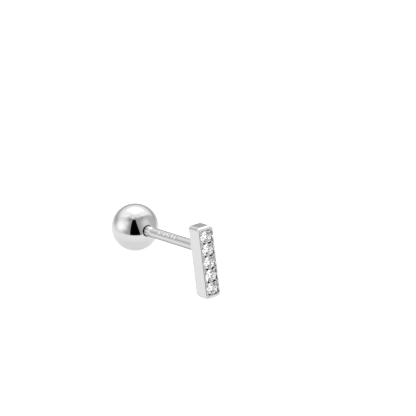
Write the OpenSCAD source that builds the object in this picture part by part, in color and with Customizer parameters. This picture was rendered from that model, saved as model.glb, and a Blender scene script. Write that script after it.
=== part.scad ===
// Bar stud earring with a screw-on ball back, standing on the ball and on the
// lower back edge of its bar, as it does on a table. Millimetres, +Z up.
// The stoned front faces -Y, the width of the bar runs along X, and the post
// runs back along +Y. The origin is under the middle of the earring.

/* [Stones] */
// Girdle diameter of one round brilliant
stone_d = 1.08; // [0.9:0.02:1.4]
// Gap between the girdles of neighbouring stones
stone_gap = 0.02; // [0.02:0.01:0.1]
// Width of the table as a share of the girdle diameter
table_share = 0.58; // [0.5:0.01:0.65]
// Angle of the crown's main facets above the girdle, in degrees
crown_angle = 34.5; // [28:0.5:38]
// Angle of the pavilion's main facets below the girdle, in degrees
pavilion_angle = 40.8; // [38:0.2:43]
// Height of the girdle band
girdle_h = 0.04; // [0.02:0.01:0.08]
// Gap between a stone and the metal around it
stone_clearance = 0.03; // [0.02:0.005:0.05]

/* [Bar] */
// Depth of the bar from its front rim to its back
bar_depth = 1.56; // [1.3:0.02:2.2]
// Thickness of the rim wall beside the stones
rim_wall = 0.13; // [0.12:0.01:0.25]
// Width of the bright-cut slope from the rim down to the girdles
bright_cut = 0.07; // [0.03:0.01:0.08]
// Metal between the row of stones and each end of the bar
end_wall = 0.32; // [0.25:0.01:0.5]
// Depth of the girdles below the top of the rim
girdle_sink = 0.09; // [0.05:0.01:0.14]
// Radius of the lower back edge, on which the bar stands
heel_r = 0.4; // [0.3:0.05:0.6]
// Radius of the front edges across the bar's ends
end_edge_r = 0.34; // [0.2:0.02:0.4]
// Radius of the upper back edge
back_edge_r = 0.14; // [0.1:0.02:0.3]
// Radius of the four corners seen from the front
front_corner_r = 0.3; // [0.24:0.02:0.44]
// Radius of the four long edges
long_edge_r = 0.14; // [0.05:0.01:0.15]

/* [Beads] */
// Diameter of a bead that holds two stones
bead_d = 0.3; // [0.24:0.01:0.32]
// Height of the bead's top above the rim
bead_rise = 0.06; // [0.02:0.01:0.1]

/* [Post] */
// Diameter of the post
post_d = 0.9; // [0.7:0.05:1]
// Bare length of the post between the bar and the mouth of the ball
post_free = 7.4; // [6:0.2:10]
// Distance of the post's axis below the top of the bar
post_drop = 1.96; // [1.6:0.02:3]
// Length of the threaded end that screws into the ball
thread_l = 2.6; // [1.8:0.1:3]
// Turns of the thread over that length
thread_turns = 12; // [8:1:16]
// Depth of the thread's crests below the surface of the post
thread_cut = 0.03; // [0.02:0.005:0.05]
// Height of the thread's ridges from root to crest
ridge_h = 0.08; // [0.05:0.01:0.1]
// Chamfer on the tip of the post
tip_chamfer = 0.1; // [0.05:0.01:0.15]

/* [Ball back] */
// Diameter of the ball
ball_d = 4; // [3.5:0.25:5]
// Diameter of the countersink at the mouth of the bore
countersink_d = 1.1; // [1.05:0.05:1.4]
// Running gap between the thread and the bore, on the radius
thread_clearance = 0.03; // [0.02:0.005:0.06]
// Free depth of the bore past the tip of the post
bore_spare = 0.25; // [0.15:0.05:0.4]

/* [Hidden] */
$fn = 64;

// How far cuts and joined pieces run past a face
over = 0.1;

// The row of stones, and the channel in the bar's front that holds it
stone_count = 5;
girdle_r = stone_d / 2;
stone_pitch = stone_d + stone_gap;
row_l = stone_count * stone_pitch;
channel_w = stone_d + 2 * stone_clearance;
bar_w = channel_w + 2 * rim_wall;
bar_l = row_l + 2 * end_wall;

// In the earring's own frame the ball's middle is at 0, the post lies along Y
// and the bar stands along Z, with its front towards -Y
ball_r = ball_d / 2;
mouth_y = -sqrt(pow(ball_r, 2) - pow(countersink_d / 2, 2));
back_y = mouth_y - post_free;
front_y = back_y - bar_depth;
girdle_y = front_y + girdle_sink;
floor_y = girdle_y + girdle_h + stone_clearance;
cut_slope = bright_cut / girdle_sink;

// The corners of the channel follow those of the bar
channel_corner_r = max(front_corner_r - rim_wall, 0.1);
tip_y = mouth_y + thread_l;
bar_top = post_drop;
bar_foot = post_drop - bar_l;

// The thread is drawn as rings, with one ridge to a turn, in a plain bore
crest_r = post_d / 2 - thread_cut;
root_r = crest_r - ridge_h;
thread_pitch = (thread_l - tip_chamfer) / thread_turns;
bore_r = crest_r + thread_clearance;

// A bead stands in the corner between two girdles and the rim wall
bead_r = bead_d / 2;
bead_x = sqrt(pow(girdle_r + stone_clearance + bead_r, 2) - pow(stone_pitch / 2, 2));
bead_y = front_y - bead_rise + bead_r;

// The crown's main facets slope from the table to the girdle, and the
// pavilion's from the girdle to the culet. The side corners of the main facets
// lie on the same planes, between the table and the girdle on the crown and
// close to the culet on the pavilion.
table_r = girdle_r * table_share;
crown_side_r = (table_r * cos(22.5) + girdle_r) / 2;
pavilion_side_r = girdle_r * 0.22;
pavilion_h = girdle_r * tan(pavilion_angle);
function main_facet_h(r, angle) = (girdle_r - r) * tan(angle);

// At rest the ball and the arc of the bar's heel touch the same plane. The
// arc's middle is heel_y in front of the ball's and heel_z below it, and the
// earring leans back by rest_tilt until both are as low.
heel_y = heel_r - back_y;
heel_z = -heel_r - bar_foot;
rest_tilt = acos((ball_r - heel_r) / norm([heel_y, heel_z])) - atan2(heel_y, heel_z);

// The furthest point in front is the bar's toe or the last bead, and the
// origin lies half way from it to the back of the ball
function reach(y, z, r) = r - y * cos(rest_tilt) - z * sin(rest_tilt);
toe_reach = reach(front_y + end_edge_r, bar_foot + end_edge_r, end_edge_r);
bead_reach = reach(bead_y, bar_foot + end_wall, bead_r);
ball_y = (max(toe_reach, bead_reach) - ball_r) / 2;

silver = [0.86, 0.86, 0.87];
clear_stone = [0.8, 0.88, 0.95];

// Height of the middle of a stone, or half way to the next at i + 0.5
function stone_z(i) = bar_top - end_wall - (i - 0.5) * stone_pitch;

// Stands the earring's own frame on the table
module at_rest() {
    translate([0, ball_y, ball_r])
        rotate([-rest_tilt, 0, 0])
            children();
}

// A cylinder or cone from y0 to y1
module along_y(y0, y1, r0, r1) {
    translate([0, y0, 0])
        rotate([-90, 0, 0])
            cylinder(h = y1 - y0, r1 = r0, r2 = r1);
}

// What a radius takes off one corner of an outline, whose sides run along
// dir[0] and dir[1] from it
module corner_cut(corner, dir, r) {
    difference() {
        translate(corner + dir * (r - over) / 2)
            square(r + over, center = true);
        translate(corner + dir * r)
            circle(r);
    }
}

// A rectangle between two opposite corners, with a radius of its own on each
// corner in the order low left, low right, high right, high left
module rounded_rect(low, high, r) {
    difference() {
        translate(low)
            square(high - low);
        corner_cut(low, [1, 1], r[0]);
        corner_cut([high[0], low[1]], [-1, 1], r[1]);
        corner_cut(high, [-1, -1], r[2]);
        corner_cut([low[0], high[1]], [1, -1], r[3]);
    }
}

// The bar's solid block, kept where its outlines from the side, from the front
// and from above all meet
module bar_block() {
    intersection() {
        rotate([90, 0, 90])
            linear_extrude(bar_w, center = true)
                rounded_rect([front_y, bar_foot], [back_y, bar_top],
                             [end_edge_r, heel_r, back_edge_r, end_edge_r]);
        translate([0, back_y + over, 0])
            rotate([90, 0, 0])
                linear_extrude(bar_depth + 2 * over)
                    rounded_rect([-bar_w / 2, bar_foot], [bar_w / 2, bar_top],
                                 front_corner_r * [1, 1, 1, 1]);
        translate([0, 0, bar_foot - over])
            linear_extrude(bar_l + 2 * over)
                rounded_rect([-bar_w / 2, front_y], [bar_w / 2, back_y],
                             long_edge_r * [1, 1, 1, 1]);
    }
}

// The bright cut seen along a channel of this half width, with its depth as the
// second coordinate
function bright_cut_outline(half) = [
    [-half + cut_slope * girdle_h, girdle_y + girdle_h],
    [half - cut_slope * girdle_h, girdle_y + girdle_h],
    [half + bright_cut + cut_slope * over, front_y - over],
    [-half - bright_cut - cut_slope * over, front_y - over]
];

// The bright cut slopes inwards on all four sides of the channel, and round its
// corners
module bright_cut_slopes() {
    linear_extrude(row_l - 2 * channel_corner_r, center = true)
        polygon(bright_cut_outline(channel_w / 2));
    rotate([0, 90, 0])
        linear_extrude(channel_w - 2 * channel_corner_r, center = true)
            polygon(bright_cut_outline(row_l / 2));
    for (x = [-1, 1], z = [-1, 1])
        translate([x * (channel_w / 2 - channel_corner_r), 0, z * (row_l / 2 - channel_corner_r)])
            along_y(front_y - over, girdle_y + girdle_h,
                    channel_corner_r + bright_cut + cut_slope * over,
                    channel_corner_r - cut_slope * girdle_h);
}

// The channel for the row with its bright cut, and a cone seat under each stone
module stone_seats() {
    translate([0, floor_y, bar_top - end_wall - row_l / 2])
        rotate([90, 0, 0])
            linear_extrude(floor_y - front_y + over)
                rounded_rect([-channel_w, -row_l] / 2, [channel_w, row_l] / 2,
                             channel_corner_r * [1, 1, 1, 1]);
    translate([0, 0, bar_top - end_wall - row_l / 2])
        bright_cut_slopes();
    for (i = [1:stone_count])
        translate([0, 0, stone_z(i)])
            along_y(floor_y, floor_y + pavilion_h, girdle_r, 0);
}

// Pairs of beads at both ends of the row and at each junction of two stones:
// short pillars on the channel's floor, with round tops
module beads() {
    for (i = [0:stone_count], side = [-1, 1])
        translate([side * bead_x, 0, stone_z(i + 0.5)]) {
            along_y(bead_y, floor_y + over, bead_r, bead_r);
            translate([0, bead_y, 0])
                sphere(bead_r);
        }
}

// The post, soldered into the back of the bar, and the ridges on its end
module post() {
    shaft = [[0, back_y - over], [post_d / 2, back_y - over], [post_d / 2, mouth_y]];
    ridges = [for (k = [0:thread_turns - 1]) let (y = mouth_y + k * thread_pitch) each [
        [root_r, y],
        [crest_r, y + thread_pitch / 2]
    ]];
    tip = [[root_r, tip_y - tip_chamfer], [root_r - tip_chamfer, tip_y], [0, tip_y]];
    rotate([-90, 0, 0])
        rotate_extrude()
            polygon(concat(shaft, ridges, tip));
}

module bar_stud() {
    color(silver)
        at_rest() {
            difference() {
                bar_block();
                stone_seats();
            }
            beads();
            post();
        }
}

// The ball, with its bore and a countersink at 45 degrees around the mouth
module ball_back() {
    start_y = -ball_r - over;
    sink_end_y = mouth_y + countersink_d / 2 - bore_r + over;
    color(silver)
        at_rest()
            difference() {
                sphere(ball_r);
                along_y(start_y, tip_y + bore_spare, bore_r, bore_r);
                along_y(start_y, sink_end_y,
                        countersink_d / 2 + mouth_y - start_y, bore_r - over);
            }
}

// A ring of n corners of radius r at height h, the first turned by start
function ring(n, r, h, start) =
    [for (k = [0:n - 1]) let (a = start + k * 360 / n) [r * cos(a), r * sin(a), h]];

// A round brilliant with its table upwards and its girdle's top at height 0.
// Its rings of corners start at 0 on the table, 8 on the crown, 16 and 32 on
// the girdle, 48 on the pavilion and 56 at the culet.
module brilliant() {
    corners = concat(
        ring(8, table_r, main_facet_h(table_r, crown_angle), 0),
        ring(8, crown_side_r, main_facet_h(crown_side_r * cos(22.5), crown_angle), 22.5),
        ring(16, girdle_r, 0, 0),
        ring(16, girdle_r, -girdle_h, 0),
        ring(8, pavilion_side_r,
             -girdle_h - main_facet_h(pavilion_side_r * cos(22.5), pavilion_angle), 22.5),
        [[0, 0, -girdle_h - pavilion_h]]
    );
    table = [for (k = [1:6]) [0, k + 1, k]];
    // Each eighth has a star facet, halves of two main facets and two girdle
    // facets on the crown, and halves and two girdle facets on the pavilion
    eighths = [for (k = [0:7]) let (g = 16 + 2 * k, next = 16 + (2 * k + 2) % 16) each [
        [k, (k + 1) % 8, 8 + k],
        [k, 8 + k, g],
        [8 + k, (k + 1) % 8, next],
        [8 + k, g + 1, g],
        [8 + k, next, g + 1],
        [48 + k, g + 16, g + 17],
        [48 + k, g + 17, next + 16],
        [56, g + 16, 48 + k],
        [56, 48 + k, next + 16]
    ]];
    band = [for (k = [0:15]) let (g = 16 + k, next = 16 + (k + 1) % 16) each [
        [g, next + 16, g + 16],
        [g, next, next + 16]
    ]];
    polyhedron(corners, concat(table, eighths, band));
}

module stone(i) {
    color(clear_stone)
        at_rest()
            translate([0, girdle_y, stone_z(i)])
                rotate([90, 0, 0])
                    brilliant();
}

bar_stud();
ball_back();
for (i = [1:stone_count])
    stone(i);
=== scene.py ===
"""A bar stud earring with a screw-on ball back, standing on a pale table.

The earring is built in millimetres in a frame of its own: the middle of the ball is at 0, the post
lies along Y, the bar stands along Z and its stoned front faces -Y. finish_piece() then leans each
finished mesh back onto the table and brings it to metres.
"""

import math
import random

import bmesh
import bpy
from mathutils import Matrix, Vector


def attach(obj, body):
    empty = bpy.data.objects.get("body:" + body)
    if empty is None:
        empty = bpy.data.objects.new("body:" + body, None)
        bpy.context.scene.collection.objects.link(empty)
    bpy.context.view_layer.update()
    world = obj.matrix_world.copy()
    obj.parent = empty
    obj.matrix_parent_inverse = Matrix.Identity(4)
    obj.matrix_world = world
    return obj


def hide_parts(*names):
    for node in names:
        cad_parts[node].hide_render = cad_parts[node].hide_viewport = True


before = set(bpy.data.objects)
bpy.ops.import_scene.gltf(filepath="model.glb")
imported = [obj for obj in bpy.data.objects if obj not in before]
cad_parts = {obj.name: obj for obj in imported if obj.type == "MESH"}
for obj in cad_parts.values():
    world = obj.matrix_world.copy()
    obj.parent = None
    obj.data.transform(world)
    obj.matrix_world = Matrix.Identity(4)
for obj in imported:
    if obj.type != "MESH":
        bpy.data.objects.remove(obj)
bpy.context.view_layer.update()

# ---------------------------------------------------------------- sizes, in millimetres

# Stones
STONE_COUNT = 5
STONE_R = 0.525
STONE_PITCH = 1.1
TABLE_SHARE = 0.58
CROWN_ANGLE = math.radians(34.5)
PAVILION_ANGLE = math.radians(40.8)
GIRDLE_H = 0.04

# Ball, post and bar along the post, from the middle of the ball
BALL_R = 2.0
BORE_R = 0.45
SINK_R = 0.55
MOUTH_Y = -math.sqrt(BALL_R ** 2 - SINK_R ** 2)
LIP_R = 0.505
LIP_ROUND = 0.025
POST_R = 0.45
POST_FREE = 7.4
SOLDER_FILLET = 0.12
BAR_BACK_Y = MOUTH_Y - POST_FREE
BAR_DEPTH = 1.56
BAR_FRONT_Y = BAR_BACK_Y - BAR_DEPTH
GIRDLE_SINK = 0.09
FLOOR_GAP = 0.03
GIRDLE_Y = BAR_FRONT_Y + GIRDLE_SINK
FLOOR_Y = GIRDLE_Y + GIRDLE_H + FLOOR_GAP

# Threaded end
THREAD_L = 2.6
THREAD_TURNS = 12
CREST_R = 0.42
ROOT_R = 0.34
TIP_CHAMFER = 0.1
TIP_GAP = 0.25
TIP_Y = MOUTH_Y + THREAD_L
BORE_END_Y = TIP_Y + TIP_GAP

# Bar, seen from the front
END_WALL = 0.32
BRIGHT_CUT = 0.035
RIM_EDGE_R = 0.06
RIM_WALL = 0.13
CHANNEL_W = 1.14
CHANNEL_L = STONE_COUNT * STONE_PITCH
BAR_W = CHANNEL_W + 2 * RIM_WALL
BAR_L = CHANNEL_L + 2 * END_WALL
BAR_TOP = 1.96
BAR_FOOT = BAR_TOP - BAR_L
HEEL_R = 0.4
END_EDGE_R = 0.34
BACK_EDGE_R = 0.14
FRONT_CORNER_R = 0.3
LONG_EDGE_R = 0.14

# Punch dents on the post: place along it, place across its upper front, depth
DENT_TURN = math.radians(36)
DENT_SPREAD = 0.016
DENTS = [(-4.25, -0.04, 0.05), (-4.55, 0.05, 0.03), (-4.95, -0.02, 0.05), (-5.4, 0.05, 0.04),
         (-5.7, -0.05, 0.03), (-6.1, 0.02, 0.055), (-6.55, -0.04, 0.045)]

# Beads, and the relief holes beside them, which are cut larger on the -X side
BEAD_R = 0.118
BEAD_X = 0.485
BEAD_TOP_Y = BAR_FRONT_Y - 0.06
RELIEF_X = 0.24
RELIEF_R = {-1: 0.155, 1: 0.125}
RELIEF_DEPTH = 0.35
RELIEF_DROP = 0.05
RELIEF_TO_END = 0.1


def rest_on_table():
    """The matrix that leans the earring back until the ball and the bar's heel touch the table."""
    ahead, below = HEEL_R - BAR_BACK_Y, -HEEL_R - BAR_FOOT
    lean = math.acos((BALL_R - HEEL_R) / math.hypot(ahead, below)) - math.atan2(ahead, below)

    def reach(y, z, r):
        return r - y * math.cos(lean) - z * math.sin(lean)

    toe = reach(BAR_FRONT_Y + END_EDGE_R, BAR_FOOT + END_EDGE_R, END_EDGE_R)
    last_bead = reach(BEAD_TOP_Y + BEAD_R, BAR_FOOT + END_WALL, BEAD_R)
    ball_y = (max(toe, last_bead) - BALL_R) / 2
    to_metres = Matrix.Diagonal((0.001, 0.001, 0.001, 1))
    return to_metres @ Matrix.Translation((0, ball_y, BALL_R)) @ Matrix.Rotation(-lean, 4, "X")


AT_REST = rest_on_table()
BALL_MIDDLE = AT_REST @ Vector((0, 0, 0))


def stone_z(i):
    """Height of the middle of stone i, counted from 0 at the top, or of a junction at i - 0.5."""
    return BAR_TOP - END_WALL - (i + 0.5) * STONE_PITCH


# ---------------------------------------------------------------- node helpers

def node(tree, kind, links=None, **values):
    """A node with its inputs given by name as sockets or values."""
    made = tree.nodes.new(kind)
    for key, value in values.items():
        setattr(made, key, value)
    for key, value in (links or {}).items():
        if isinstance(value, bpy.types.NodeSocket):
            tree.links.new(value, made.inputs[key])
        else:
            made.inputs[key].default_value = value
    return made


def maths(tree, operation, *values):
    """A Math node on sockets or plain numbers; returns its result."""
    return node(tree, "ShaderNodeMath", dict(enumerate(values)), operation=operation).outputs[0]


def ramp_between(tree, value, low, high, to_low=0.0, to_high=1.0, eased=True):
    """value brought from to_low at low to to_high at high."""
    return node(tree, "ShaderNodeMapRange",
                {"Value": value, "From Min": low, "From Max": high, "To Min": to_low, "To Max": to_high},
                interpolation_type="SMOOTHSTEP" if eased else "LINEAR").outputs["Result"]


def new_material(name):
    """A material with only its shader and output, and the object's own coordinates."""
    material = bpy.data.materials.new(name)
    material.use_nodes = True
    tree = material.node_tree
    shader = tree.nodes["Principled BSDF"]
    place = tree.nodes.new("ShaderNodeTexCoord").outputs["Object"]
    return material, tree, shader, place


def in_earring_frame(tree, place, stretch=(1, 1, 1)):
    """Object coordinates turned back into the earring's own frame, in millimetres times stretch."""
    turned = node(tree, "ShaderNodeMapping",
                  {"Vector": place, "Location": AT_REST.to_translation(), "Rotation": AT_REST.to_euler()},
                  vector_type="TEXTURE")
    scaled = node(tree, "ShaderNodeMapping",
                  {"Vector": turned.outputs["Vector"], "Scale": [1000 * s for s in stretch]})
    return scaled.outputs["Vector"]


def noise(tree, vector, scale, detail=2.0, roughness=0.5):
    """Plain noise with the given scale, as a factor."""
    return node(tree, "ShaderNodeTexNoise",
                {"Vector": vector, "Scale": scale, "Detail": detail, "Roughness": roughness}).outputs["Fac"]


def bump(tree, shader, height, distance_mm):
    """Bumps the shader's surface by height, to the given depth."""
    raised = node(tree, "ShaderNodeBump",
                  {"Height": height, "Strength": 1.0, "Distance": distance_mm * 0.001})
    tree.links.new(raised.outputs["Normal"], shader.inputs["Normal"])


# ---------------------------------------------------------------- materials

def silver(name, stretch, lines, line_depth, rough_low, rough_high, shade=0.79, painted_underside_shade=None):
    """Rhodium-bright silver. stretch sets how the polishing lines run, and lines how fine they are.

    The last argument, where given, is painted shade: the colour darkens towards the lower side, as if in the
    shadow under the post, chosen to look like the photograph.
    """
    material, tree, shader, place = new_material(name)
    shader.inputs["Base Color"].default_value = (shade, shade, shade * 0.995, 1)
    # painted shade: the base colour darkens towards the lower side, as if shaded by the table below
    if painted_underside_shade:
        height = node(tree, "ShaderNodeSeparateXYZ", {"Vector": in_earring_frame(tree, place)}).outputs["Z"]
        tree.links.new(ramp_between(tree, height, -0.2, 0.02, painted_underside_shade, shade), shader.inputs["Base Color"])
    shader.inputs["Metallic"].default_value = 1.0
    polish = noise(tree, in_earring_frame(tree, place), 1.6, 3)
    rough = ramp_between(tree, polish, 0.3, 0.7, rough_low, rough_high)
    tree.links.new(rough, shader.inputs["Roughness"])
    drawn = noise(tree, in_earring_frame(tree, place, stretch), lines, 4, 0.65)
    bump(tree, shader, drawn, line_depth)
    return material


def clear_stone(name):
    """Cut clear stone, with the faintest haze of handling on its polish."""
    material, tree, shader, place = new_material(name)
    shader.inputs["Base Color"].default_value = (0.985, 0.988, 1.0, 1)
    shader.inputs["Transmission Weight"].default_value = 1.0
    shader.inputs["IOR"].default_value = 2.16
    haze = noise(tree, in_earring_frame(tree, place), 2.2, 2)
    rough = ramp_between(tree, haze, 0.45, 0.8, 0.0, 0.02)
    tree.links.new(rough, shader.inputs["Roughness"])
    return material


BALL_SILVER = silver("mirror_silver", (1, 1, 1), 9.0, 0.00015, 0.02, 0.055)
BAR_SILVER = silver("buffed_silver", (6.0, 6.0, 0.35), 3.0, 0.0009, 0.06, 0.12)
# the post's silver carries a painted shade on its lower side
POST_SILVER_PAINTED_SHADE = silver("drawn_silver_painted_lower_shade", (5.0, 0.25, 5.0), 3.0, 0.0012, 0.04, 0.08, painted_underside_shade=0.42)
BEAD_SILVER = silver("bead_silver", (1, 1, 1), 6.0, 0.0003, 0.03, 0.07)
CUT_SILVER = silver("bright_cut_silver", (2, 2, 2), 5.0, 0.0004, 0.03, 0.07)
# dark recess metal: the roughness is the unpolished metal's own, and the near-black colour is painted shade
# for the shadow deep in holes and bores
RECESS_SILVER_PAINTED_SHADE = silver("unpolished_recess_painted_shade", (2, 2, 2), 8.0, 0.004, 0.4, 0.6, shade=0.1)
STONE = clear_stone("cut_clear_stone")


# ---------------------------------------------------------------- mesh helpers

def add_object(name, mesh, material=None):
    piece = bpy.data.objects.new(name, mesh)
    bpy.context.scene.collection.objects.link(piece)
    if material:
        mesh.materials.clear()
        mesh.materials.append(material)
    return piece


def mesh_from(bm, name):
    mesh = bpy.data.meshes.new(name)
    bm.to_mesh(mesh)
    bm.free()
    return mesh


def settle(piece):
    """Turns what the modifiers make into the piece's plain mesh and removes them."""
    graph = bpy.context.evaluated_depsgraph_get()
    mesh = bpy.data.meshes.new_from_object(piece.evaluated_get(graph), preserve_all_data_layers=True,
                                           depsgraph=graph)
    piece.modifiers.clear()
    piece.data = mesh
    return piece


def add_modifier(piece, name, kind, **values):
    modifier = piece.modifiers.new(name, kind)
    for key, value in values.items():
        setattr(modifier, key, value)
    return modifier


def smooth(piece, crease_degrees, weigh=True):
    """Smooth shading that stays crisp past crease_degrees, with flat faces kept flat."""
    mesh = piece.data
    mesh.shade_smooth()
    mesh.set_sharp_from_angle(angle=math.radians(crease_degrees))
    if weigh:
        add_modifier(piece, "flat_faces", "WEIGHTED_NORMAL", mode="FACE_AREA", weight=100, keep_sharp=True)
        settle(piece)
    return piece


def ring_points(n, r, y):
    """n points of a circle of radius r round the post's axis at y."""
    angles = [2 * math.pi * k / n for k in range(n)]
    return [Vector((r * math.sin(a), y, r * math.cos(a))) for a in angles]


def turned_piece(name, profile, sides, shape=None):
    """A solid turned round the post's axis from (radius, y) pairs, both ends on the axis.

    shape, where given, moves each point of the surface.
    """
    bm = bmesh.new()
    rows = []
    for r, y in profile:
        points = [Vector((0, y, 0))] if r == 0 else ring_points(sides, r, y)
        rows.append([bm.verts.new(shape(p) if shape else p) for p in points])
    for low, high in zip(rows, rows[1:]):
        for k in range(sides):
            corners = [low[k % len(low)], low[(k + 1) % len(low)],
                       high[(k + 1) % len(high)], high[k % len(high)]]
            corners = list(dict.fromkeys(corners))
            if len(corners) > 2:
                bm.faces.new(corners)
    bmesh.ops.recalc_face_normals(bm, faces=bm.faces)
    return mesh_from(bm, name)


def arc(centre, r, start, end, steps):
    """(radius, y) pairs on an arc, with angles in degrees from the +radius direction towards +y."""
    angles = [math.radians(start + (end - start) * k / steps) for k in range(steps + 1)]
    return [(centre[0] + r * math.cos(a), centre[1] + r * math.sin(a)) for a in angles]


def spread(start, end, steps):
    """Points from start up to, but not including, end."""
    return [(start[0] + (end[0] - start[0]) * k / steps, start[1] + (end[1] - start[1]) * k / steps)
            for k in range(steps)]


def finish_piece(piece, body, slot, *nodes):
    """Leans a finished piece onto the table, ties it to its body and hides the solids that it stands for;
    slot is not used.
    """
    piece.data.transform(AT_REST)
    piece.data.update()
    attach(piece, body)
    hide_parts(*nodes)


# ---------------------------------------------------------------- Geometry Nodes helpers

def new_node_tool(name, inputs):
    """An empty Geometry Nodes tree with a geometry input, the named inputs and a geometry output."""
    tree = bpy.data.node_groups.new(name, "GeometryNodeTree")
    tree.interface.new_socket("Geometry", in_out="INPUT", socket_type="NodeSocketGeometry")
    for label, kind, value in inputs:
        tree.interface.new_socket(label, in_out="INPUT", socket_type=kind).default_value = value
    tree.interface.new_socket("Geometry", in_out="OUTPUT", socket_type="NodeSocketGeometry")
    return tree, tree.nodes.new("NodeGroupInput"), tree.nodes.new("NodeGroupOutput")


def use_node_tool(piece, tree, **values):
    """Runs the tree on the piece with its inputs set by name, and keeps the plain mesh."""
    modifier = piece.modifiers.new(tree.name, "NODES")
    modifier.node_group = tree
    sockets = {s.name: s.identifier for s in tree.interface.items_tree
               if s.item_type == "SOCKET" and s.in_out == "INPUT"}
    for label, value in values.items():
        modifier[sockets[label.replace("_", " ")]] = value
    return settle(piece)


# ---------------------------------------------------------------- the bar

def set_back(depth, r):
    """How far an edge rounded by r stands back at this depth below its face."""
    return r - math.sqrt(r ** 2 - (r - min(depth, r)) ** 2)


def rounded_outline(bm, y, right, top, foot, corner_x, corner_top, corner_foot, steps=9):
    """The vertices of a rounded oblong at y, to plus and minus right and from foot to top."""
    outline = []
    for sx, sz, turn in ((1, 1, 0), (-1, 1, 90), (-1, -1, 180), (1, -1, 270)):
        corner_z = corner_top if sz > 0 else corner_foot
        x, z = sx * (right - corner_x), top - corner_z if sz > 0 else foot + corner_z
        for k in range(steps + 1):
            a = math.radians(turn + 90 * k / steps)
            outline.append(bm.verts.new((x + corner_x * math.cos(a), y, z + corner_z * math.sin(a))))
    return outline


def stacked(bm, name, outlines):
    """A closed solid through a row of outlines, with flat ends."""
    n = len(outlines[0])
    for low, high in zip(outlines, outlines[1:]):
        for k in range(n):
            bm.faces.new((low[k], low[(k + 1) % n], high[(k + 1) % n], high[k]))
    bm.faces.new(outlines[0])
    bm.faces.new(outlines[-1])
    bmesh.ops.recalc_face_normals(bm, faces=bm.faces)
    return mesh_from(bm, name)


def bar_blank():
    """The bar's block from front to back, each of its edges rounded by its own radius."""
    quarter = [1 - math.cos(math.radians(11.25 * k)) for k in range(9)]
    fronts = [r * q for r in (RIM_EDGE_R, END_EDGE_R) for q in quarter]
    backs = [BAR_DEPTH - r * q for r in (LONG_EDGE_R, HEEL_R) for q in quarter]
    bm = bmesh.new()
    outlines = []
    for depth in sorted({round(d, 4) for d in fronts + backs}):
        side = max(set_back(depth, RIM_EDGE_R), set_back(BAR_DEPTH - depth, LONG_EDGE_R))
        top = max(set_back(depth, END_EDGE_R), set_back(BAR_DEPTH - depth, BACK_EDGE_R))
        foot = max(set_back(depth, END_EDGE_R), set_back(BAR_DEPTH - depth, HEEL_R))
        outlines.append(rounded_outline(
            bm, BAR_FRONT_Y + depth, BAR_W / 2 - side, BAR_TOP - top, BAR_FOOT + foot,
            FRONT_CORNER_R - side, max(FRONT_CORNER_R - top, 0.1), max(FRONT_CORNER_R - foot, 0.1)))
    return add_object("bar_setting", stacked(bm, "bar_setting", outlines), BAR_SILVER)


def channel_cutter():
    """What is milled out of the bar's front: the channel, and the bright cut that slopes into it."""
    corner_r, past = FRONT_CORNER_R - RIM_WALL, 0.02
    slope = BRIGHT_CUT / (GIRDLE_Y - BAR_FRONT_Y)
    top = BAR_TOP - END_WALL
    bm = bmesh.new()
    levels = ((FLOOR_Y, 0.0), (GIRDLE_Y, 0.0), (BAR_FRONT_Y - past, BRIGHT_CUT + slope * past))
    outlines = [rounded_outline(bm, y, CHANNEL_W / 2 + out, top + out, top - CHANNEL_L - out,
                                *[corner_r + out] * 3) for y, out in levels]
    return add_object("channel_cutter", stacked(bm, "channel_cutter", outlines), CUT_SILVER)


def seat_cutter(i):
    """The cone seat that is drilled for stone i."""
    depth = STONE_R * math.tan(PAVILION_ANGLE)
    mesh = turned_piece("seat_cutter", [(0, FLOOR_Y - 0.05), (STONE_R, FLOOR_Y - 0.05),
                                        (STONE_R, FLOOR_Y + 0.008), (0, FLOOR_Y + depth)], 64)
    mesh.transform(Matrix.Translation((0, 0, stone_z(i))))
    return add_object("seat_cutter", mesh, CUT_SILVER)


def relief_cutter(i, side):
    """The small hole drilled beside bead i, where two girdles part from each other."""
    r = RELIEF_R[side]
    mesh = turned_piece("relief_cutter", [(0, GIRDLE_Y), (r, GIRDLE_Y), (r, FLOOR_Y + RELIEF_DEPTH),
                                          (0, FLOOR_Y + RELIEF_DEPTH + 0.05)], 24)
    z = stone_z(i - 0.5) - RELIEF_DROP
    z = min(max(z, BAR_FOOT + END_WALL + RELIEF_TO_END), BAR_TOP - END_WALL - RELIEF_TO_END)
    mesh.transform(Matrix.Translation((side * RELIEF_X, 0, z)))
    # the hole's walls take the dark recess metal, a painted shade
    return add_object("relief_cutter", mesh, RECESS_SILVER_PAINTED_SHADE)


def bar_setting():
    """The bar's block with its channel, seats and relief holes cut out."""
    bar = bar_blank()
    cutters = [channel_cutter()] + [seat_cutter(i) for i in range(STONE_COUNT)]
    cutters += [relief_cutter(i, side) for i in range(STONE_COUNT + 1) for side in (-1, 1)]
    for cutter in cutters:
        add_modifier(bar, "cut", "BOOLEAN", operation="DIFFERENCE", solver="EXACT",
                     material_mode="TRANSFER", object=cutter)
    settle(bar)
    for cutter in cutters:
        bpy.data.objects.remove(cutter, do_unlink=True)
    smooth(bar, 32)
    return bar


# ---------------------------------------------------------------- beads

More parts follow.
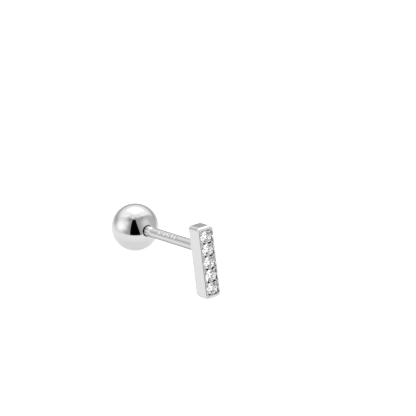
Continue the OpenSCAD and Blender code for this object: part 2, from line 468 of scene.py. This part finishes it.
def bead_row_tool():
    """Raises one bead at each point it is given, each a little different, as a graver leaves them."""
    tree, given, made = new_node_tool("bead_row", [
        ("Bead radius", "NodeSocketFloat", BEAD_R), ("Height", "NodeSocketFloat", 0.4),
        ("Variation", "NodeSocketFloat", 0.05), ("Seed", "NodeSocketInt", 3),
        ("Metal", "NodeSocketMaterial", None)])
    ball = node(tree, "GeometryNodeMeshUVSphere",
                {"Segments": 40, "Rings": 24, "Radius": given.outputs["Bead radius"]})
    # below its equator the bead goes on as a straight shank down to the channel's floor
    position = node(tree, "GeometryNodeInputPosition").outputs[0]
    parts = node(tree, "ShaderNodeSeparateXYZ", {"Vector": position})
    below = maths(tree, "LESS_THAN", parts.outputs["Z"], 0.0)
    flat = node(tree, "ShaderNodeCombineXYZ", {"X": parts.outputs["X"], "Y": parts.outputs["Y"], "Z": 0.0})
    out = node(tree, "ShaderNodeVectorMath", {0: flat.outputs[0]}, operation="NORMALIZE").outputs[0]
    shank = node(tree, "ShaderNodeVectorMath", {0: out, "Scale": given.outputs["Bead radius"]},
                 operation="SCALE").outputs[0]
    drop = maths(tree, "MULTIPLY", given.outputs["Height"], -1.0)
    sunk = node(tree, "ShaderNodeCombineXYZ", {"X": 0.0, "Y": 0.0, "Z": drop}).outputs[0]
    foot = node(tree, "ShaderNodeVectorMath", {0: shank, 1: sunk}, operation="ADD").outputs[0]
    shaped = node(tree, "GeometryNodeSetPosition",
                  {"Geometry": ball.outputs["Mesh"], "Selection": below, "Position": foot})
    points = node(tree, "GeometryNodeMeshToPoints", {"Mesh": given.outputs["Geometry"]})
    small = maths(tree, "SUBTRACT", 1.0, given.outputs["Variation"])
    size = node(tree, "FunctionNodeRandomValue",
                {"Min": (0, 0, 0), "Max": (1, 1, 1), "Seed": given.outputs["Seed"]},
                data_type="FLOAT_VECTOR")
    lowest = node(tree, "ShaderNodeCombineXYZ", {"X": small, "Y": small, "Z": 0.985}).outputs[0]
    tree.links.new(lowest, size.inputs["Min"])
    turn = node(tree, "FunctionNodeRandomValue",
                {"Min": (0, 0, 0), "Max": (0.05, 0.05, 6.28), "Seed": given.outputs["Seed"]},
                data_type="FLOAT_VECTOR")
    placed = node(tree, "GeometryNodeInstanceOnPoints", {
        "Points": points.outputs[0], "Instance": shaped.outputs[0], "Scale": size.outputs["Value"]})
    spun = node(tree, "GeometryNodeRotateInstances",
                {"Instances": placed.outputs[0], "Rotation": turn.outputs["Value"]})
    real = node(tree, "GeometryNodeRealizeInstances", {"Geometry": spun.outputs[0]})
    finish = node(tree, "GeometryNodeSetMaterial",
                  {"Geometry": real.outputs[0], "Material": given.outputs["Metal"]})
    tree.links.new(finish.outputs[0], made.inputs[0])
    return tree


def beads():
    """The twelve beads, worked upright round Z and then laid to face forwards."""
    middle = BEAD_TOP_Y + BEAD_R
    bm = bmesh.new()
    for i in range(STONE_COUNT + 1):
        for side in (-1, 1):
            bm.verts.new((side * BEAD_X, stone_z(i - 0.5), 0))
    row = add_object("bead_prongs", mesh_from(bm, "bead_prongs"))
    use_node_tool(row, bead_row_tool(), Metal=BEAD_SILVER, Height=FLOOR_Y + 0.1 - middle)
    row.data.transform(Matrix.Translation((0, middle, 0)) @ Matrix.Rotation(math.radians(90), 4, "X"))
    row.data.shade_smooth()
    return row


# ---------------------------------------------------------------- the post and its thread

def dented(p):
    """A row of small round punch dents along the upper front of the post, uneven as struck by hand."""
    angle = math.atan2(p.x, p.z)
    across = POST_R * math.remainder(angle + DENT_TURN, 2 * math.pi)
    depth = 0.0
    for y, aside, deep in DENTS:
        depth += deep * math.exp(-((p.y - y) ** 2 + (across - aside) ** 2) / DENT_SPREAD)
    flat = Vector((p.x, 0, p.z))
    return p - flat.normalized() * depth if flat.length > 0.35 else p


def post_profile():
    """Fillet of solder, shaft, softened shoulder, root of the thread and chamfered tip."""
    fillet = SOLDER_FILLET
    profile = [(0, BAR_BACK_Y - 0.1), (POST_R + fillet, BAR_BACK_Y - 0.1)]
    profile += arc((POST_R + fillet, BAR_BACK_Y + fillet), fillet, 270, 180, 10)
    shaft_start, shaft_end = BAR_BACK_Y + fillet, MOUTH_Y - 0.16
    profile += spread((POST_R, shaft_start + 0.02), (POST_R, shaft_end), 150)
    profile += [(POST_R - 0.04 * (k / 8) ** 2, shaft_end + 0.15 * k / 8) for k in range(9)]
    profile += [(POST_R - 0.06, MOUTH_Y), (ROOT_R, MOUTH_Y + 0.02)]
    profile += [(ROOT_R, TIP_Y - TIP_CHAMFER)]
    profile += arc((ROOT_R - TIP_CHAMFER, TIP_Y - TIP_CHAMFER), TIP_CHAMFER, 15, 90, 6)
    return profile + [(0, TIP_Y)]


def thread_tool():
    """A screw ridge round Y: a spiral that carries a rounded triangle, thin at both its ends."""
    tree, given, made = new_node_tool("screw_ridge", [
        ("Root radius", "NodeSocketFloat", ROOT_R), ("Ridge height", "NodeSocketFloat", CREST_R - ROOT_R),
        ("Pitch", "NodeSocketFloat", 0.2), ("Turns", "NodeSocketFloat", 12.0),
        ("Start", "NodeSocketFloat", 0.0),
        ("Metal", "NodeSocketMaterial", None)])
    length = maths(tree, "MULTIPLY", given.outputs["Pitch"], given.outputs["Turns"])
    spiral = node(tree, "GeometryNodeCurveSpiral", {
        "Resolution": 56, "Rotations": given.outputs["Turns"], "Start Radius": given.outputs["Root radius"],
        "End Radius": given.outputs["Root radius"], "Height": length})
    share = node(tree, "GeometryNodeSplineParameter").outputs["Factor"]
    rise = ramp_between(tree, share, 0.0, 0.05, 0.02, 1.0, eased=False)
    fall = ramp_between(tree, share, 0.95, 1.0, 1.0, 0.02, eased=False)
    taper = maths(tree, "MINIMUM", rise, fall)
    half = maths(tree, "MULTIPLY", given.outputs["Pitch"], 0.46)
    low = maths(tree, "MULTIPLY", given.outputs["Ridge height"], -0.25)
    crest = maths(tree, "MULTIPLY", half, 0.14)
    minus_half = maths(tree, "MULTIPLY", half, -1.0)
    minus_crest = maths(tree, "MULTIPLY", crest, -1.0)
    profile = node(tree, "GeometryNodeCurvePrimitiveQuadrilateral", mode="POINTS")
    for key, (x, y) in enumerate(((minus_half, low), (minus_crest, given.outputs["Ridge height"]),
                                  (crest, given.outputs["Ridge height"]), (half, low)), 1):
        corner = node(tree, "ShaderNodeCombineXYZ", {"X": y, "Y": x, "Z": 0.0}).outputs[0]
        tree.links.new(corner, profile.inputs[f"Point {key}"])
    upright = node(tree, "GeometryNodeSetCurveNormal", {"Curve": spiral.outputs[0]}, mode="Z_UP")
    swept = node(tree, "GeometryNodeCurveToMesh", {
        "Curve": upright.outputs[0], "Profile Curve": profile.outputs[0], "Fill Caps": True})
    if "Scale" in swept.inputs:
        tree.links.new(taper, swept.inputs["Scale"])
    else:
        sized = node(tree, "GeometryNodeSetCurveRadius", {"Curve": upright.outputs[0], "Radius": taper})
        tree.links.new(sized.outputs[0], swept.inputs["Curve"])
    shift = node(tree, "ShaderNodeCombineXYZ", {"X": 0.0, "Y": 0.0, "Z": given.outputs["Start"]}).outputs[0]
    moved = node(tree, "GeometryNodeSetPosition", {"Geometry": swept.outputs[0], "Offset": shift})
    real = node(tree, "GeometryNodeRealizeInstances", {"Geometry": moved.outputs[0]})
    finish = node(tree, "GeometryNodeSetMaterial",
                  {"Geometry": real.outputs[0], "Material": given.outputs["Metal"]})
    tree.links.new(finish.outputs[0], made.inputs[0])
    return tree


def screw_ridge(name, tool, metal, start, end, turns, root, height):
    """A helical ridge from start to end along the post. A negative height makes it stand inwards."""
    ridge = add_object(name, bpy.data.meshes.new(name))
    pitch = (end - start) / turns
    use_node_tool(ridge, tool, Root_radius=root, Ridge_height=height, Pitch=pitch, Turns=float(turns),
                  Start=start, Metal=metal)
    ridge.data.transform(Matrix.Rotation(math.radians(-90), 4, "X"))
    bm = bmesh.new()
    bm.from_mesh(ridge.data)
    bmesh.ops.recalc_face_normals(bm, faces=bm.faces)
    bm.to_mesh(ridge.data)
    bm.free()
    smooth(ridge, 35, weigh=False)
    return ridge


def post():
    """The shaft with its solder fillet and threaded root; the ridge is a piece of its own."""
    shaft = add_object("ear_post", turned_piece("ear_post", post_profile(), 128, dented), POST_SILVER_PAINTED_SHADE)
    smooth(shaft, 30)
    return shaft


# ---------------------------------------------------------------- the ball

def ball_profile():
    """From the ball's far pole round to the mouth, over its lip, down the countersink and the bore."""
    lip = LIP_ROUND
    mouth_angle = math.degrees(math.asin(LIP_R / BALL_R))
    lip_y = -math.sqrt(BALL_R ** 2 - LIP_R ** 2)
    profile = [(0, BALL_R)] + [(BALL_R * math.sin(math.radians(a)), BALL_R * math.cos(math.radians(a)))
                               for a in [180 * k / 150 for k in range(1, 150)] if a < 180 - mouth_angle - 1.6]
    # the lip is rounded between the sphere and the 45 degree cone
    start = math.radians(mouth_angle + 1.3)
    outer = Vector((BALL_R * math.sin(start), -BALL_R * math.cos(start)))
    inner = Vector((LIP_R - lip, lip_y + lip))
    tip = Vector((LIP_R, lip_y))
    for k in range(7):
        t = k / 6
        p = outer * (1 - t) ** 2 + tip * 2 * t * (1 - t) + inner * t ** 2
        profile.append((p.x, p.y))
    floor = MOUTH_Y + SINK_R - BORE_R
    profile += spread((LIP_R - lip - 0.005, lip_y + lip + 0.02), (BORE_R + 0.01, floor - 0.01), 4)
    profile += [(BORE_R + 0.005, floor - 0.004), (BORE_R, floor + 0.008)]
    profile += [(BORE_R, BORE_END_Y - 0.05), (BORE_R - 0.05, BORE_END_Y)]
    return profile + [(0, BORE_END_Y)]


def ball():
    """The polished ball, with its countersink and bore rough and darkened with painted shade."""
    mesh = turned_piece("ball_back_polished", ball_profile(), 160)
    back = add_object("ball_back_polished", mesh, BALL_SILVER)
    smooth(back, 30)
    # faces in the mouth and bore take the dark recess metal: painted shade for the shadow inside the hole
    back.data.materials.append(RECESS_SILVER_PAINTED_SHADE)
    for face in back.data.polygons:
        middle = face.center
        inside = math.hypot(middle.x, middle.z) < LIP_R - 0.02
        if inside and MOUTH_Y - 0.01 < middle.y < BORE_END_Y + 0.01:
            face.material_index = 1
    return back


# ---------------------------------------------------------------- the stones

def facet_planes():
    """The planes of a round brilliant's facets as (point, normal), its girdle's top at height 0."""
    def at(r, degrees, z):
        return Vector((r * math.cos(math.radians(degrees)), r * math.sin(math.radians(degrees)), z))

    def through(a, b, c, up):
        n = (b - a).cross(c - a).normalized()
        return a, n if n.z * up > 0 else -n

    step = math.cos(math.radians(22.5))
    table_r = STONE_R * TABLE_SHARE
    crown_t, pavilion_t = math.tan(CROWN_ANGLE), math.tan(PAVILION_ANGLE)
    side_r = (table_r * step + STONE_R) / 2
    low_r = STONE_R * 0.22
    table_z = (STONE_R - table_r) * crown_t
    side_z = (STONE_R - side_r * step) * crown_t
    low_z = -GIRDLE_H - (STONE_R - low_r * step) * pavilion_t
    planes = [(Vector((0, 0, table_z)), Vector((0, 0, 1)))]
    for k in range(8):
        a = 45 * k
        across = at(1, a + 90, 0)
        rim, base = at(STONE_R, a, 0), at(STONE_R, a, -GIRDLE_H)
        planes.append(through(rim, rim + across, at(table_r, a, table_z), 1))
        planes.append(through(base, base + across, Vector((0, 0, -GIRDLE_H - STONE_R * pavilion_t)), -1))
        side = at(side_r, a + 22.5, side_z)
        planes.append(through(at(table_r, a, table_z), at(table_r, a + 45, table_z), side, 1))
        for turn in (0, 22.5):
            first, second = a + turn, a + turn + 22.5
            planes.append(through(at(STONE_R, first, 0), at(STONE_R, second, 0), side, 1))
            planes.append(through(at(STONE_R, first, -GIRDLE_H), at(STONE_R, second, -GIRDLE_H),
                                  at(low_r, a + 22.5, low_z), -1))
    return planes


def brilliant(name, turn, tip):
    """One stone, cut facet by facet from a round blank and turned a little, as set by hand."""
    bm = bmesh.new()
    bmesh.ops.create_cone(bm, cap_ends=True, segments=96, radius1=STONE_R, radius2=STONE_R, depth=2)
    for point, normal in facet_planes():
        cut = bmesh.ops.bisect_plane(bm, geom=bm.verts[:] + bm.edges[:] + bm.faces[:], dist=1e-7,
                                     plane_co=point, plane_no=normal, clear_outer=True)
        edges = [e for e in cut["geom_cut"] if isinstance(e, bmesh.types.BMEdge)]
        if len(edges) > 2:
            bmesh.ops.contextual_create(bm, geom=edges)
    bmesh.ops.remove_doubles(bm, verts=bm.verts, dist=1e-6)
    bmesh.ops.recalc_face_normals(bm, faces=bm.faces)
    mesh = mesh_from(bm, name)
    mesh.transform(Matrix.Rotation(math.radians(tip[0]), 4, "X")
                   @ Matrix.Rotation(math.radians(tip[1]), 4, "Y")
                   @ Matrix.Rotation(math.radians(turn), 4, "Z"))
    return mesh


def stones():
    """The row of stones, top to bottom, no two turned alike."""
    hand = random.Random(11)
    row = []
    for i in range(STONE_COUNT):
        tip = (hand.uniform(-1.0, 1.0), hand.uniform(-1.0, 1.0))
        mesh = brilliant(f"stone_{i + 1}_brilliant", hand.uniform(0, 45), tip)
        upright = Matrix.Rotation(math.radians(90), 4, "X")
        mesh.transform(Matrix.Translation((0, GIRDLE_Y, stone_z(i))) @ upright)
        row.append(add_object(f"stone_{i + 1}_brilliant", mesh, STONE))
    return row


# ---------------------------------------------------------------- the earring

setting = bar_setting()
finish_piece(setting, "stud", "silver", "bar_stud")
finish_piece(beads(), "stud", "silver", "bar_stud")
finish_piece(post(), "stud", "silver", "bar_stud")
thread = thread_tool()
post_thread = screw_ridge("post_thread", thread, POST_SILVER_PAINTED_SHADE, MOUTH_Y + 0.06, TIP_Y - TIP_CHAMFER,
                          THREAD_TURNS, ROOT_R, CREST_R - ROOT_R)
finish_piece(post_thread, "stud", "silver", "bar_stud")
for i, gem in enumerate(stones(), 1):
    finish_piece(gem, "stud", "clear_stone", f"stone_{i}")
finish_piece(ball(), "ball", "silver", "ball_back")
# the bore's ridge takes the dark recess metal too: painted shade
bore_thread = screw_ridge("bore_thread", thread, RECESS_SILVER_PAINTED_SHADE, MOUTH_Y + 0.26, BORE_END_Y - 0.2,
                          THREAD_TURNS, BORE_R, -0.02)
finish_piece(bore_thread, "ball", "silver", "ball_back")


# ---------------------------------------------------------------- the table, the light and the camera

VIEW_AZIMUTH = math.radians(-34.1)
VIEW_ELEVATION = math.radians(26.8)
VIEW_DISTANCE = 0.27


def table_top():
    """A matt white table, big enough to run out of every view."""
    bm = bmesh.new()
    bmesh.ops.create_circle(bm, cap_ends=True, segments=96, radius=3.0)
    top = add_object("table_top", mesh_from(bm, "table_top"))
    material, _, shader, _ = new_material("matt_white_table")
    shader.inputs["Base Color"].default_value = (0.9, 0.9, 0.9, 1)
    shader.inputs["Roughness"].default_value = 0.9
    shader.inputs["Specular IOR Level"].default_value = 0.0
    shader.inputs["Emission Color"].default_value = (1, 1, 1, 1)
    shader.inputs["Emission Strength"].default_value = 0.62
    top.data.materials.append(material)
    top.visible_glossy = False


def studio():
    """A white studio seen only in reflections: a broad light overhead, grey walls and one black card.

    Directions are measured from the side the picture is taken from: across, in degrees to its
    right, and up, in degrees above the horizon.
    """
    world = bpy.data.worlds.new("white_studio")
    bpy.context.scene.world = world
    world.use_nodes = True
    tree = world.node_tree
    tree.nodes.clear()
    towards = tree.nodes.new("ShaderNodeTexCoord").outputs["Generated"]
    turned = node(tree, "ShaderNodeVectorRotate", {"Vector": towards, "Angle": -VIEW_AZIMUTH},
                  rotation_type="Z_AXIS")
    parts = node(tree, "ShaderNodeSeparateXYZ", {"Vector": turned.outputs["Vector"]})
    to_degrees = 180 / math.pi
    forward = maths(tree, "MULTIPLY", parts.outputs["Y"], -1.0)
    across = maths(tree, "MULTIPLY", maths(tree, "ARCTAN2", parts.outputs["X"], forward), to_degrees)
    behind = maths(tree, "SUBTRACT", 180.0, maths(tree, "ABSOLUTE", across))
    up = maths(tree, "MULTIPLY", maths(tree, "ARCSINE", parts.outputs["Z"]), to_degrees)

    def leaning(lean):
        """across, measured to an edge that leans by this many degrees per degree up."""
        return maths(tree, "SUBTRACT", across, maths(tree, "MULTIPLY", up, lean))

    def patch(*edges):
        """The product of soft edges, each (value, where it starts, where it is full)."""
        result = 1.0
        for value, start, full in edges:
            result = maths(tree, "MULTIPLY", result, ramp_between(tree, value, start, full))
        return result

    def lay(under, level, mask):
        """level over under, where mask is full."""
        mix = node(tree, "ShaderNodeMix", {"Factor": mask})
        for socket, value in ((mix.inputs["A"], under), (mix.inputs["B"], level)):
            if isinstance(value, bpy.types.NodeSocket):
                tree.links.new(value, socket)
            else:
                socket.default_value = value
        return mix.outputs["Result"]

    def by_height(*stops):
        """A level for each height in degrees, eased between them."""
        height = ramp_between(tree, up, -90, 90, eased=False)
        ramp = tree.nodes.new("ShaderNodeValToRGB")
        ramp.color_ramp.interpolation = "EASE"
        for k, (degrees, level) in enumerate(stops):
            elements = ramp.color_ramp.elements
            stop = elements[k] if k < 2 else elements.new(1.0)
            stop.position = (degrees + 90) / 180
            stop.color = (level, level, level, 1)
        tree.links.new(height, ramp.inputs["Fac"])
        return ramp.outputs["Color"]

    sideways = maths(tree, "ABSOLUTE", across)
    # the table and the far side of the room, darkest at its foot
    light = by_height((-60, 0.84), (-41, 0.92), (-24, 0.97), (-14, 0.86), (-6, 0.60), (3, 0.46), (10, 0.50),
                      (18, 0.74), (25, 0.90), (33, 1.00), (43, 1.12), (54, 1.20), (90, 1.20))
    # the ceiling over the near side is a little darker
    light = lay(light, 0.94, patch((sideways, 150, 70), (up, 58, 74)))
    # the walls to both sides stay darker than the ceiling, and so does the table behind
    light = lay(light, 1.06, patch((sideways, 92, 108), (sideways, 150, 134), (up, 34, 44), (up, 74, 64)))
    light = lay(light, 0.80, patch((sideways, 140, 165), (up, -28, -38)))
    # the near wall, with its top edge out of focus
    light = lay(light, 0.80, patch((sideways, 100, 70), (up, -16, -12), (up, 84, 60)))
    # the left wall: lit in its middle, darker at its top and foot, and darkest beside the card
    light = lay(light, 0.82, patch((leaning(1.05), -148, -132), (across, -118, -104), (across, 0, -20),
                                   (up, -16, -12), (up, 66, 54)))
    light = lay(light, 1.24, patch((across, -112, -80), (across, -38, -72), (up, -16, 4), (up, 48, 12)))
    light = lay(light, 0.48, patch((across, -78, -40), (across, 20, -10), (up, -16, -12), (up, 12, -5)))
    light = lay(light, 0.29, patch((across, -86, -40), (across, 20, -10), (up, 38, 54), (up, 68, 60)))
    light = lay(light, 0.37, patch((across, -52, -28), (across, 14, -14), (up, -16, -12), (up, 67, 60)))
    # the right wall: darkest beside the card, with a soft light patch and a top edge that falls away
    leaning_top = maths(tree, "ADD", up, maths(tree, "MULTIPLY", across, 0.14))
    light = lay(light, 0.39, patch((leaning(-0.25), 2, 16), (across, 128, 116), (leaning(-1.05), 163, 139),
                                   (up, -16, -12), (leaning_top, 80, 67)))
    light = lay(light, 0.56, patch((across, 76, 92), (across, 128, 116), (leaning(-1.05), 163, 139),
                                   (up, -16, -8), (up, 60, 40)))
    light = lay(light, 0.80, patch((across, 18, 66), (across, 98, 76), (up, -6, 28), (up, 62, 34)))
    light = lay(light, 0.85, patch((across, 40, 56), (across, 86, 74), (up, -18, -13), (up, 12, 2)))
    # the overhead light
    light = lay(light, 2.2, patch((behind, 54, 18), (up, 38, 54), (up, 96, 76)))
    # the black card
    light = lay(light, 0.0006, patch((across, -26, -22), (leaning(-0.27), 24, 20),
                                     (up, -18, -13), (up, 66, 58)))

    # what the stones gather is stronger, and harder in contrast, than what the metal mirrors
    paths = tree.nodes.new("ShaderNodeLightPath")
    in_stones = maths(tree, "MULTIPLY", maths(tree, "POWER", light, 1.6), 3.1)
    gathered = node(tree, "ShaderNodeBackground", {
        "Color": lay(light, in_stones, paths.outputs["Is Transmission Ray"])})
    plain = node(tree, "ShaderNodeBackground", {"Color": (1, 1, 1, 1), "Strength": 1.05})
    choose = node(tree, "ShaderNodeMixShader", {
        0: paths.outputs["Is Camera Ray"], 1: gathered.outputs[0], 2: plain.outputs[0]})
    node(tree, "ShaderNodeOutputWorld", {"Surface": choose.outputs[0]})


def camera():
    """The photograph's angle on a long lens, aimed so that the ball's middle lands where it does there."""
    lens, sensor, image, ball_px = 277.0, 36.0, 416, (135.2, 226.9)
    back = Vector((math.sin(VIEW_AZIMUTH) * math.cos(VIEW_ELEVATION),
                   -math.cos(VIEW_AZIMUTH) * math.cos(VIEW_ELEVATION), math.sin(VIEW_ELEVATION)))
    data = bpy.data.cameras.new("camera")
    data.lens, data.sensor_width = lens, sensor
    data.clip_start, data.clip_end = 0.01, 10.0
    shot = bpy.data.objects.new("camera", data)
    bpy.context.scene.collection.objects.link(shot)
    pixels = lens / sensor * image
    to_ball = Vector(((ball_px[0] - image / 2) / pixels, (image / 2 - ball_px[1]) / pixels, -1)).normalized()
    straight = (-back).to_track_quat("-Z", "Y")
    shot.rotation_mode = "QUATERNION"
    shot.rotation_quaternion = straight @ to_ball.rotation_difference(Vector((0, 0, -1)))
    shot.location = BALL_MIDDLE + back * VIEW_DISTANCE
    bpy.context.scene.camera = shot


table_top()
studio()
camera()
scene = bpy.context.scene
scene.view_settings.view_transform = "Standard"
scene.cycles.glossy_bounces = 16
scene.cycles.transmission_bounces = 24
scene.cycles.max_bounces = 32
